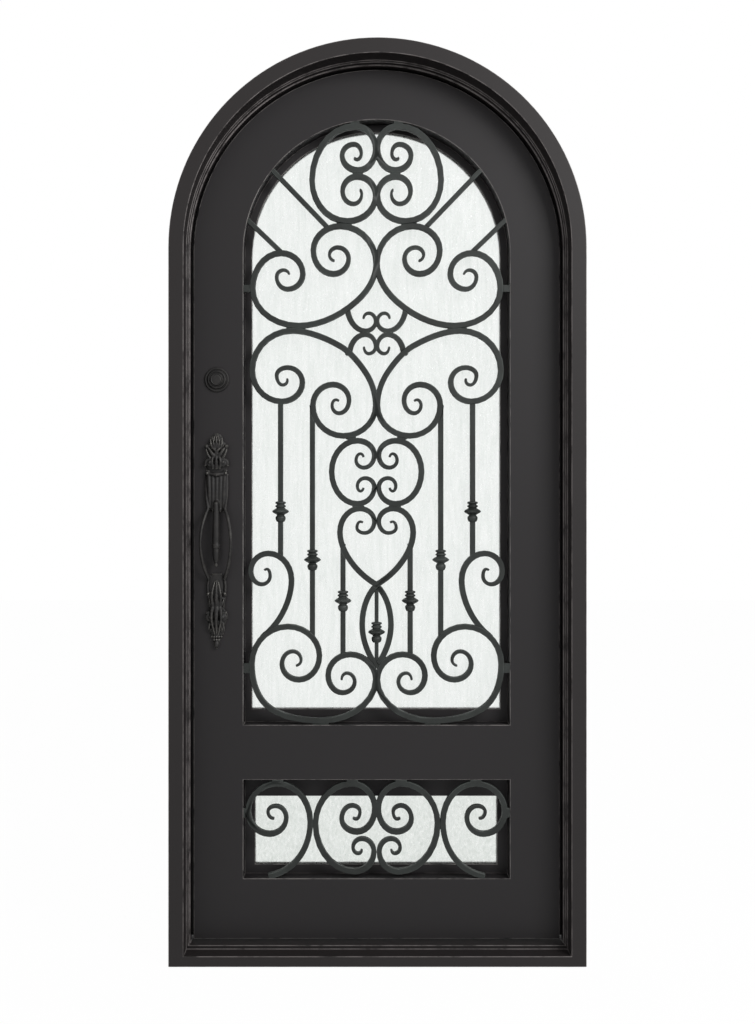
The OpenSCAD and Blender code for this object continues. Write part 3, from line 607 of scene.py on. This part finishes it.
def pull_shape():
    """The pull about its own middle, its back on Y = 0 and standing out to -Y."""
    shape = bmesh.new()
    # Shield with five flutes between two rolled edges
    for k in range(-2, 3):
        path = [(k * (0.0076 + 0.0016 * t), -0.0050 - 0.003 * math.sin(math.pi * t),
                 0.066 + 0.084 * t + 0.004 * abs(k) * (1 - t)) for t in
                [n / 8 for n in range(9)]]
        bar_along(shape, path, [0.0046 + 0.0010 * t / 8 for t in range(9)], 14, 1.1)
        swell(shape, Vector((k * 0.0078, -0.0056, 0.067 + 0.004 * abs(k))),
              (0.0044, 0.0058, 0.0075))
    for side in (-1, 1):
        bar_along(shape, [(side * 0.0235, -0.004, 0.152), (side * 0.0240, -0.006, 0.125),
                          (side * 0.0232, -0.008, 0.098), (side * 0.0200, -0.009, 0.074)],
                  [0.0034, 0.0036, 0.0036, 0.0040])
        # Bowed rod from the shield to the foot
        path, radii = [], []
        for n in range(33):
            t = n / 32
            bow = 1 - (2 * t - 1) ** 2
            path.append((side * (0.0180 + 0.0165 * bow), -0.0075 - 0.0260 * bow,
                         0.076 - 0.164 * t))
            radii.append(0.0034 + 0.0008 * abs(2 * t - 1))
        bar_along(shape, path, radii, 12)
    # Back plates that carry the ornament, as half widths at heights
    crown = [(0.066, 0.0170), (0.075, 0.0200), (0.110, 0.0225), (0.145, 0.0240),
             (0.158, 0.0215), (0.168, 0.0245), (0.178, 0.0255), (0.188, 0.0190),
             (0.196, 0.0185), (0.206, 0.0235), (0.214, 0.0255), (0.221, 0.0215),
             (0.228, 0.0150), (0.236, 0.0130), (0.242, 0.0090), (0.2455, 0.0030)]
    foot = [(-0.2450, 0.0030), (-0.2400, 0.0065), (-0.2300, 0.0085), (-0.2220, 0.0110),
            (-0.2140, 0.0160), (-0.2060, 0.0180), (-0.1970, 0.0165), (-0.1880, 0.0205),
            (-0.1780, 0.0265), (-0.1680, 0.0255), (-0.1580, 0.0190), (-0.1480, 0.0190),
            (-0.1300, 0.0210), (-0.1100, 0.0210), (-0.0900, 0.0180), (-0.0760, 0.0120)]
    for outline in (crown, foot):
        bar_along(shape, [(0, -0.0022, height) for height, _ in outline],
                  [wide for _, wide in outline], 32, 0.22)
    # Crown: collar, paired volutes, flared fronds and a three-lobed bud
    bar_along(shape, [(-0.021, -0.008, 0.154), (0, -0.0125, 0.150), (0.021, -0.008, 0.154)],
              [0.0040, 0.0048, 0.0040])
    for side in (-1, 1):
        volute(shape, Vector((side * 0.0155, -0.0100, 0.1765)), -0.6, 1.4, 0.0100, 0.0052, side)
        volute(shape, Vector((side * 0.0200, -0.0080, 0.1535)), 0.9, 0.9, 0.0056, 0.0036, side)
        frond(shape, (side * 0.002, -0.009, 0.188), (side * 0.0235, -0.008, 0.2155),
              0.0125, 0.006, side * -0.002)
        frond(shape, (side * 0.002, -0.009, 0.208), (side * 0.0110, -0.007, 0.2375),
              0.0085, 0.005)
        swell(shape, Vector((side * 0.0228, -0.0095, 0.2150)), (0.0050, 0.0052, 0.0050))
    frond(shape, (0, -0.010, 0.164), (0, -0.009, 0.205), 0.0120, 0.007)
    frond(shape, (0, -0.009, 0.212), (0, -0.007, 0.2440), 0.0085, 0.006)
    for k in range(-2, 3):
        swell(shape, Vector((k * 0.0050, -0.0095 + 0.0006 * k * k, 0.2085 - 0.0012 * abs(k))),
              (0.0030, 0.0030, 0.0030))
    # Stem with its collar and drop
    turned(shape, rounded([
        (0.0010, -0.0600), (0.0036, -0.0580), (0.0042, -0.0540), (0.0034, -0.0505),
        (0.0055, -0.0485), (0.0072, -0.0400), (0.0085, -0.0270), (0.0076, -0.0180),
        (0.0098, -0.0160), (0.0100, -0.0120), (0.0096, -0.0085), (0.0078, -0.0060),
        (0.0085, 0.0040), (0.0082, 0.0280), (0.0072, 0.0560), (0.0062, 0.0760),
        (0.0056, 0.0860), (0.0020, 0.0885)]), 28, Matrix.Translation((0, -0.0200, 0)))
    bar_along(shape, [(0, -0.018, 0.082), (0, -0.0115, 0.086), (0, -0.005, 0.090)],
              [0.0050, 0.0062, 0.0085])
    # Foot: plate with a leaf in relief, side curls, volutes, pointed leaf, beads and bud
    for side in (-1, 1):
        bar_along(shape, [(side * 0.0170, -0.006, -0.080), (side * 0.0205, -0.0065, -0.105),
                          (side * 0.0190, -0.0065, -0.130), (side * 0.0150, -0.006, -0.153)],
                  [0.0038, 0.0034, 0.0034, 0.0038])
        volute(shape, Vector((side * 0.0190, -0.0080, -0.1225)), 2.2, 0.9, 0.0054, 0.0034, side)
        volute(shape, Vector((side * 0.0165, -0.0100, -0.1745)), 0.9, 1.4, 0.0100, 0.0052, side)
        frond(shape, (side * 0.004, -0.009, -0.150), (side * 0.0150, -0.008, -0.128),
              0.0080, 0.005)
        frond(shape, (side * 0.004, -0.009, -0.184), (side * 0.0135, -0.007, -0.2090),
              0.0100, 0.005, side * -0.002)
    frond(shape, (0, -0.010, -0.150), (0, -0.0095, -0.092), 0.0130, 0.007)
    frond(shape, (0, -0.011, -0.152), (0, -0.008, -0.2170), 0.0140, 0.008)
    bar_along(shape, [(-0.0150, -0.008, -0.156), (0, -0.013, -0.160), (0.0150, -0.008, -0.156)],
              [0.0036, 0.0046, 0.0036])
    for beads, height in ((2, -0.2200), (1, -0.2270)):
        for k in range(-beads, beads + 1):
            swell(shape, Vector((k * 0.0052, -0.0085 + 0.0007 * k * k, height)),
                  (0.0030, 0.0030, 0.0030))
    swell(shape, Vector((0, -0.0065, -0.2375)), (0.0066, 0.0056, 0.0085))
    swell(shape, Vector((0, -0.0060, -0.2450)), (0.0030, 0.0030, 0.0028))
    return shape


cast_grain = 0.00105
for node, out in (("exterior_pull", 1), ("interior_pull", -1)):
    low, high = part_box(node)
    shape = pull_shape()
    flip = Matrix.Diagonal((1, out, 1, 1))
    back = Vector(((low.x + high.x) / 2, high.y if out > 0 else low.y, (low.z + high.z) / 2))
    bmesh.ops.transform(shape, matrix=Matrix.Translation(back) @ flip, verts=shape.verts)
    bmesh.ops.recalc_face_normals(shape, faces=shape.faces)
    mesh = bpy.data.meshes.new(node + "_casting")
    shape.to_mesh(mesh)
    shape.free()
    casting = plain_piece(node + "_casting", mesh, cast_hardware)
    fuse = casting.modifiers.new("fuse", "REMESH")
    fuse.mode, fuse.voxel_size, fuse.use_smooth_shade = "VOXEL", cast_grain, True
    soften = casting.modifiers.new("soften", "SMOOTH")
    soften.factor, soften.iterations = 0.5, 3
    settle(casting)
    for vert in casting.data.vertices:
        reach_in = (vert.co.y - back.y) * out
        if reach_in > 0:
            vert.co.y = back.y
    wear_and_light_marks(casting.data, 2)
    casting.data.materials.clear()
    casting.data.materials.append(cast_hardware)
    mount(casting, "leaf", "cast_hardware", node)

# ---- Lock ----
# A stepped rose in three rings, with a covered key cylinder on the street side and a thumb
# turn on the room side, turned from bar and finished like the pulls.

for node, out in (("exterior_lock_rose", 1), ("interior_lock_turn", -1)):
    low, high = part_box(node)
    centre = Vector(((low.x + high.x) / 2, high.y if out > 0 else low.y,
                     (low.z + high.z) / 2))
    rose_r = (high.x - low.x) / 2
    facing = Matrix.Translation(centre) @ Matrix.Rotation(math.radians(90 * out), 4, "X")
    shape = bmesh.new()
    turned(shape, rounded([
        (0.0005, 0), (rose_r - 0.0010, 0), (rose_r, 0.0010), (rose_r, 0.0030),
        (rose_r - 0.0018, 0.0050), (rose_r - 0.0042, 0.0050), (rose_r - 0.0056, 0.0038),
        (0.0218, 0.0044), (0.0206, 0.0088), (0.0180, 0.0096), (0.0166, 0.0080),
        (0.0142, 0.0080), (0.0136, 0.0132), (0.0124, 0.0138), (0.0112, 0.0128),
        (0.0005, 0.0122)], 4), 72, facing)
    if out > 0:
        # Swing cover over the key cylinder: a plain disc in the ring
        turned(shape, rounded([(0.0005, 0.0118), (0.0098, 0.0122), (0.0102, 0.0128),
                               (0.0097, 0.0134), (0.0005, 0.0135)], 3), 48, facing)
    else:
        neck = [(0.0062, 0.0100), (0.0058, 0.0200), (0.0066, 0.0260)]
        turned(shape, rounded([(0.0005, 0.0100)] + neck + [(0.0005, 0.0262)], 3), 40, facing)
        grip = [(0, -0.0168 + 0.0336 * n / 12, 0) for n in range(13)]
        lift = facing @ Matrix.Translation((0, 0, 0.0310))
        path = [lift @ Vector(point) for point in grip]
        radii = [0.0036 + 0.0018 * math.cos(math.pi * (n / 12 - 0.5)) for n in range(13)]
        bar_along(shape, path, radii, 20, 1.3)
    mesh = bpy.data.meshes.new(node + "_turned")
    shape.to_mesh(mesh)
    shape.free()
    rose = plain_piece(node + "_turned", mesh, cast_hardware)
    for face in mesh.polygons:
        face.use_smooth = True
    mesh.set_sharp_from_angle(angle=math.radians(50))
    wear_and_light_marks(mesh, 0)
    mount(rose, "leaf", "cast_hardware", node)

# ---- Strike plate, lock faceplate and their screws ----
# Brushed stainless plates let into the jamb and the leaf's edge, each held by two
# countersunk screws with cross recesses.

brushed = Finish("bare_steel")
lines = brushed.noise(60, 4.0, (14, 14, 0.6), 0.6)
smear = brushed.noise(18, 3.0)
bare_steel = brushed.surface({
    "Base Color": brushed.mix(lines, tone(138, 138, 140), tone(184, 184, 186)),
    "Roughness": 0.26 + 0.18 * lines + 0.06 * smear,
    "Metallic": 1.0,
    "Normal": brushed.relief(lines, 0.00008, 0.5),
})
screw_coat = Finish("painted_screw")
screw_grain = screw_coat.noise(300, 3.0)
painted_screw = screw_coat.surface({
    "Base Color": screw_coat.mix(screw_grain, tone(30, 29, 30), tone(58, 56, 56)),
    "Roughness": 0.36 + 0.18 * screw_grain,
    "Metallic": 0.0,
    "Normal": screw_coat.relief(screw_grain, 0.0001, 0.4),
})


def screw(radius, facing, material):
    """An oval screw head with a cross recess, looking along the given turn."""
    head = bmesh.new()
    turned(head, rounded([(0.0003, -0.0006), (radius, -0.0006), (radius, 0.0002),
                          (radius * 0.82, radius * 0.22), (radius * 0.45, radius * 0.36),
                          (0.0003, radius * 0.40)], 3), 28)
    mesh = bpy.data.meshes.new("screw_head")
    head.to_mesh(mesh)
    head.free()
    piece = plain_piece("screw_head", mesh, material)
    cross = bmesh.new()
    for quarter in (0, math.pi / 2):
        place = (Matrix.Rotation(quarter, 4, "Z") @ Matrix.Translation((0, 0, radius * 0.42))
                 @ Matrix.Diagonal((radius * 1.05, radius * 0.22, radius * 0.5, 1)))
        bmesh.ops.create_cube(cross, size=1, matrix=place)
    tool_mesh = bpy.data.meshes.new("cross")
    cross.to_mesh(tool_mesh)
    cross.free()
    tool = plain_piece("cross", tool_mesh, material)
    cut = piece.modifiers.new("cut", "BOOLEAN")
    cut.operation, cut.object, cut.solver, cut.use_self = "DIFFERENCE", tool, "EXACT", True
    settle(piece)
    bpy.data.objects.remove(tool)
    piece.data.materials.clear()
    piece.data.materials.append(material)
    for face in piece.data.polygons:
        face.use_smooth = True
    piece.data.set_sharp_from_angle(angle=math.radians(35))
    piece.data.transform(facing)
    return piece


for node, body, side in (("strike_plate", "frame", 1), ("lock_faceplate", "leaf", -1)):
    plate = ease(node + "_brushed", cut_shape(node), 0.0004, bare_steel, 2)
    mount(plate, body, "bare_steel", node)
    low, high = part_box(node)
    face_x = high.x if side > 0 else low.x
    spots = [(face_x, (low.y + high.y) / 2, z) for z in (low.z + 0.011, high.z - 0.011)]
    look = Matrix.Rotation(math.radians(90 * side), 4, "Y")
    screws = set_out(node + "_screws", spots, screw(0.0038, look, bare_steel), bare_steel)
    mount(screws, body, "bare_steel")

# ---- Sash screws ----
# The sashes are drawn up against the leaf by painted screws all round the room side.


def spaced(points, pitch):
    """Places at an even pitch along a chain of points."""
    points = [Vector(point) for point in points]
    lengths = [(b - a).length for a, b in zip(points, points[1:])]
    count = max(2, round(sum(lengths) / pitch))
    step, places, walked, k = sum(lengths) / count, [], 0.0, 0
    for n in range(count):
        target = step * (n + 0.5)
        while walked + lengths[k] < target:
            walked += lengths[k]
            k += 1
        places.append(points[k].lerp(points[k + 1], (target - walked) / lengths[k]))
    return places


low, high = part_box("upper_sash")
glass_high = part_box("upper_glass")[1]
inset = (high.x - glass_high.x) / 2 - 0.001
radius = high.x - inset
spring = high.z - high.x
route = [(radius, high.y, low.z + inset), (radius, high.y, spring)]
route += [(radius * math.cos(math.pi * n / 24), high.y,
           spring + radius * math.sin(math.pi * n / 24)) for n in range(1, 24)]
route += [(-radius, high.y, spring), (-radius, high.y, low.z + inset),
          (radius, high.y, low.z + inset)]
room_face = Matrix.Rotation(math.radians(-90), 4, "X")
mount(set_out("upper_sash_screws", spaced(route, 0.21), screw(0.0042, room_face, painted_screw),
              painted_screw), "leaf", "leaf_paint")
low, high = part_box("lower_sash")
route = [(-high.x + inset, high.y, low.z + inset), (-high.x + inset, high.y, high.z - inset),
         (high.x - inset, high.y, high.z - inset), (high.x - inset, high.y, low.z + inset),
         (-high.x + inset, high.y, low.z + inset)]
mount(set_out("lower_sash_screws", spaced(route, 0.17), screw(0.0042, room_face, painted_screw),
              painted_screw), "leaf", "leaf_paint")

# ---- Hinges ----
# Weld-on barrel hinges: two steel knuckles on a greased pin, with leaf plates welded to
# the casing and to the leaf's back edge, then painted over with the door.

weld_coat = Finish("hinge_paint")
weld_grain = weld_coat.noise(240, 4.0)
weld_edge = weld_coat.node("ShaderNodeAttribute", {"attribute_name": EASED}, out="Fac")
hinge_paint = weld_coat.surface({
    # Eased edges painted lighter: partly edge wear, partly painted highlight.
    "Base Color": weld_coat.mix(weld_edge * weld_coat.step(weld_grain, 0.35, 0.6) * 0.7,
                                tone(34, 32, 32), tone(92, 87, 84)),
    "Roughness": 0.38 + 0.16 * weld_grain,
    "Metallic": 0.0,
    "Specular IOR Level": 0.45,
    "Normal": weld_coat.relief(weld_grain, 0.0002, 0.35),
})


def bead_along(name, points, thick, material):
    """A weld bead: a ripple-skinned fillet run along a chain of points."""
    tree = bpy.data.node_groups.new(name, "GeometryNodeTree")
    for label, kind in (("Line", "Geometry"), ("Thickness", "Float"), ("Ripple", "Float"),
                        ("Finish", "Material")):
        tree.interface.new_socket(label, in_out="INPUT", socket_type="NodeSocket" + kind)
    tree.interface.new_socket("Bead", in_out="OUTPUT", socket_type="NodeSocketGeometry")
    given, result = tree.nodes.new("NodeGroupInput"), tree.nodes.new("NodeGroupOutput")
    line = tree.nodes.new("GeometryNodeMeshToCurve")
    even = tree.nodes.new("GeometryNodeResampleCurve")
    even.mode = "LENGTH"
    even.inputs["Length"].default_value = 0.0009
    ring = tree.nodes.new("GeometryNodeCurvePrimitiveCircle")
    ring.inputs["Resolution"].default_value = 8
    skin = tree.nodes.new("GeometryNodeCurveToMesh")
    skin.inputs["Fill Caps"].default_value = True
    push = tree.nodes.new("GeometryNodeSetPosition")
    rough = tree.nodes.new("ShaderNodeTexNoise")
    rough.inputs["Scale"].default_value = 380
    less = tree.nodes.new("ShaderNodeVectorMath")
    less.operation = "SUBTRACT"
    less.inputs[1].default_value = (0.5, 0.5, 0.5)
    size = tree.nodes.new("ShaderNodeVectorMath")
    size.operation = "SCALE"
    real = tree.nodes.new("GeometryNodeRealizeInstances")
    coat = tree.nodes.new("GeometryNodeSetMaterial")
    join = tree.links.new
    join(given.outputs["Line"], line.inputs["Mesh"])
    join(line.outputs["Curve"], even.inputs["Curve"])
    join(given.outputs["Thickness"], ring.inputs["Radius"])
    join(even.outputs["Curve"], skin.inputs["Curve"])
    join(ring.outputs["Curve"], skin.inputs["Profile Curve"])
    join(skin.outputs["Mesh"], push.inputs["Geometry"])
    join(rough.outputs["Color"], less.inputs[0])
    join(less.outputs[0], size.inputs[0])
    join(given.outputs["Ripple"], size.inputs["Scale"])
    join(size.outputs[0], push.inputs["Offset"])
    join(push.outputs["Geometry"], real.inputs["Geometry"])
    join(real.outputs["Geometry"], coat.inputs["Geometry"])
    join(given.outputs["Finish"], coat.inputs["Material"])
    join(coat.outputs["Geometry"], result.inputs["Bead"])
    mesh = bpy.data.meshes.new(name)
    mesh.from_pydata([tuple(p) for p in points], [(k, k + 1) for k in range(len(points) - 1)],
                     [])
    bead = plain_piece(name, mesh, material)
    nodes = bead.modifiers.new("bead", "NODES")
    nodes.node_group = tree
    sockets = {item.name: item.identifier for item in tree.interface.items_tree
               if item.in_out == "INPUT"}
    nodes[sockets["Thickness"]], nodes[sockets["Ripple"]] = thick, thick * 0.7
    nodes[sockets["Finish"]] = material
    settle(bead)
    for face in bead.data.polygons:
        face.use_smooth = True
    return bead


for level in ("low", "mid", "top"):
    for owner, body in (("frame", "frame"), ("leaf", "leaf")):
        node = f"{owner}_hinge_{level}"
        mount(ease(node + "_steel", cut_shape(node), 0.0006, hinge_paint, 2),
              body, "cast_hardware", node)
        low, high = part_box(node)
        if owner == "frame":
            far, face_y = high.x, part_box("jamb_hinge_side")[1].y
            bottom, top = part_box(node)[0].z + 0.006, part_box(node)[1].z - 0.048
        else:
            far, face_y = low.x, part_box("hinge_stile")[1].y
            bottom, top = low.z, high.z - 0.006
        near = far - 0.020 if owner == "frame" else far + 0.020
        bead = bead_along(f"{node}_weld", [(near, face_y, bottom), (far, face_y, bottom),
                                           (far, face_y, top), (near, face_y, top)],
                          0.0014, hinge_paint)
        mount(bead, body, "cast_hardware")

# ---- Weatherstrip ----
# An extruded rubber bulb pushed into the casing's stop, all round the leaf's flange.

rubber = Finish("seal")
bloom = rubber.noise(40, 4.0)
skin_grain = rubber.noise(500, 2.0)
seal_rubber = rubber.surface({
    "Base Color": rubber.mix(bloom, tone(16, 16, 17), tone(32, 32, 33)),
    "Roughness": 0.62 + 0.18 * bloom,
    "Metallic": 0.0,
    "Normal": rubber.relief(skin_grain, 0.0001, 0.3),
})
low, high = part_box("weatherstrip")
strip_r, strip_w, strip_t = high.x, 0.007, high.y - low.y
spring = high.z - high.x
section = [(0.0, 0.0)] + [
    (strip_w * (0.5 - 0.5 * math.cos(math.pi * n / 8)), strip_t * math.sin(math.pi * n / 8) ** 0.7)
    for n in range(1, 8)] + [(strip_w, 0.0)]
line = [(1, 0, low.z), (1, 0, spring)]
line += [(math.cos(math.pi * n / 60), math.sin(math.pi * n / 60), spring) for n in range(1, 60)]
line += [(-1, 0, spring), (-1, 0, low.z)]
shape = bmesh.new()
rings = []
for across, lift, base_z in line:
    rings.append([shape.verts.new(((strip_r - inward) * across, low.y + out,
                                   base_z + (strip_r - inward) * lift))
                  for inward, out in section])
for first, second in zip(rings, rings[1:]):
    for n in range(len(section)):
        m = (n + 1) % len(section)
        shape.faces.new((first[n], first[m], second[m], second[n]))
shape.faces.new(rings[0])
shape.faces.new(rings[-1][::-1])
bmesh.ops.recalc_face_normals(shape, faces=shape.faces)
mesh = bpy.data.meshes.new("weatherstrip_bulb")
shape.to_mesh(mesh)
shape.free()
for face in mesh.polygons:
    face.use_smooth = True
mesh.set_sharp_from_angle(angle=math.radians(50))
mount(plain_piece("weatherstrip_bulb", mesh, seal_rubber), "frame", "seal", "weatherstrip")

# ---- Floor, light and camera ----
# A pale studio floor and white surround with two large soft lamps.

world = bpy.data.worlds.new("studio")
bpy.context.scene.world = world
world.use_nodes = True
sky = world.node_tree
sky.nodes.clear()
path = sky.nodes.new("ShaderNodeLightPath")


def either(tree, first, second):
    node = tree.nodes.new("ShaderNodeMath")
    node.operation = "MAXIMUM"
    tree.links.new(first, node.inputs[0])
    tree.links.new(second, node.inputs[1])
    return node.outputs[0]


seen = either(sky, either(sky, path.outputs["Is Camera Ray"], path.outputs["Is Glossy Ray"]),
              path.outputs["Is Transmission Ray"])
white = sky.nodes.new("ShaderNodeBackground")
white.inputs["Color"].default_value = (1, 1, 1, 1)
soft = sky.nodes.new("ShaderNodeBackground")
soft.inputs["Color"].default_value = (1, 1, 1, 1)
soft.inputs["Strength"].default_value = 0.38
choose = sky.nodes.new("ShaderNodeMixShader")
sky.links.new(seen, choose.inputs[0])
sky.links.new(soft.outputs[0], choose.inputs[1])
sky.links.new(white.outputs[0], choose.inputs[2])
surround = sky.nodes.new("ShaderNodeOutputWorld")
sky.links.new(choose.outputs[0], surround.inputs[0])

floor_mesh = bpy.data.meshes.new("floor")
reach = 12
floor_mesh.from_pydata([(-reach, -reach, 0), (reach, -reach, 0), (reach, reach, 0),
                        (-reach, reach, 0)], [], [(0, 1, 2, 3)])
pale = Finish("pale_floor")
ray = Value(pale.tree, either(
    pale.tree, pale.node("ShaderNodeLightPath", out="Is Camera Ray").socket,
    either(pale.tree, pale.node("ShaderNodeLightPath", out="Is Glossy Ray").socket,
           pale.node("ShaderNodeLightPath", out="Is Transmission Ray").socket)))
pale_floor = pale.node("ShaderNodeBsdfPrincipled", {}, {
    "Base Color": pale.mix(pale.noise(1.5) * 0.4, (0.86, 0.86, 0.86, 1), (0.9, 0.9, 0.9, 1)),
    "Roughness": 0.9, "Specular IOR Level": 0.1})
bare = pale.node("ShaderNodeEmission", {}, {"Color": (1, 1, 1, 1), "Strength": 1.0})
held = pale.node("ShaderNodeMixShader", {}, {0: ray * 0.985, 1: pale_floor, 2: bare})
pale.node("ShaderNodeOutputMaterial", {}, {"Surface": held})
floor = plain_piece("floor", floor_mesh, pale.material)


def lamp(name, place, aim, size, power):
    light = bpy.data.lights.new(name, "AREA")
    light.shape, light.size, light.size_y, light.energy = "RECTANGLE", size[0], size[1], power
    lit = bpy.data.objects.new(name, light)
    lit.location = place
    lit.rotation_euler = (Vector(aim) - Vector(place)).to_track_quat("-Z", "Y").to_euler()
    bpy.context.scene.collection.objects.link(lit)


lamp("key_lamp", (2.2, -2.7, 2.9), (0, 0, 1.2), (1.6, 1.8), 120)
lamp("fill_lamp", (-3.4, -3.0, 2.0), (0, 0, 1.0), (2.0, 2.6), 8)

reach_m, view_m = 2.9, 2.290
lens = bpy.data.cameras.new("camera")
lens.sensor_width, lens.lens = 36, 36 * reach_m / view_m
lens.shift_x = 0.08 / view_m
camera = bpy.data.objects.new("camera", lens)
camera.location = (-0.08, cad_low.y - reach_m, 1.018)
camera.rotation_euler = (math.radians(90), 0, 0)
bpy.context.scene.collection.objects.link(camera)
bpy.context.scene.camera = camera
bpy.context.scene.view_settings.view_transform = "Standard"
